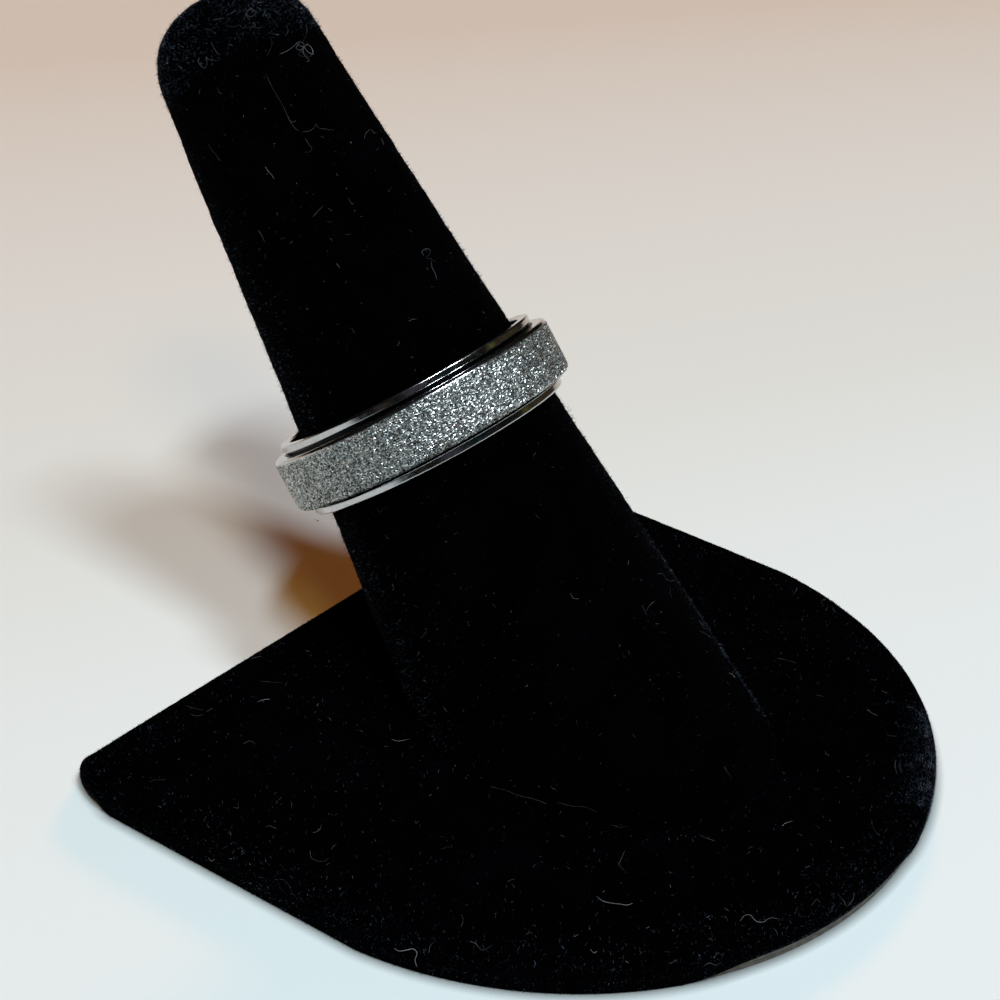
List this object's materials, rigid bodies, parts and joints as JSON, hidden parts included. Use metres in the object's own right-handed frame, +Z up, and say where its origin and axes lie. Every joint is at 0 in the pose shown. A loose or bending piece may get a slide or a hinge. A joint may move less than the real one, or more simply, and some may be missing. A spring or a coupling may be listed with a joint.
{
  "type": "spinner ring on ring display stand",
  "caption": "Polished steel spinner ring with a freely turning glitter-finish outer band, held on a leaning black velvet finger with a flat round-fronted base.",
  "frame": {"origin": "on the underside of the stand's base, on its symmetry line, where the finger's foot and the round front are measured from", "axes": "+Z up from the surface that the stand rests on; +Y towards the base's straight back edge, the way the finger leans; +X to the side"},
  "size_m": [0.0616, 0.0677, 0.0523],
  "materials": {
    "polished_steel": "mirror-polished stainless steel",
    "glitter_steel": "diamond-dust surface, coarse sparkling grain",
    "finger_velvet": "black velvet over a rigid core",
    "base_velvet": "black velvet over card",
    "grey_card": "plain grey card"
  },
  "bodies": {
    "root": {"inner_band": "polished_steel", "stand_finger": "finger_velvet", "stand_base": "base_velvet", "base_backing": "grey_card"},
    "spinner": {"spinner_band": "glitter_steel"}
  },
  "joints": [
    {"name": "spinner_spin", "type": "hinge", "parent": "root", "child": "spinner", "pos_m": [0, 0.01777, 0.02262], "axis": [-0.0766, 0.5516, 0.8306], "continuous": true}
  ]
}
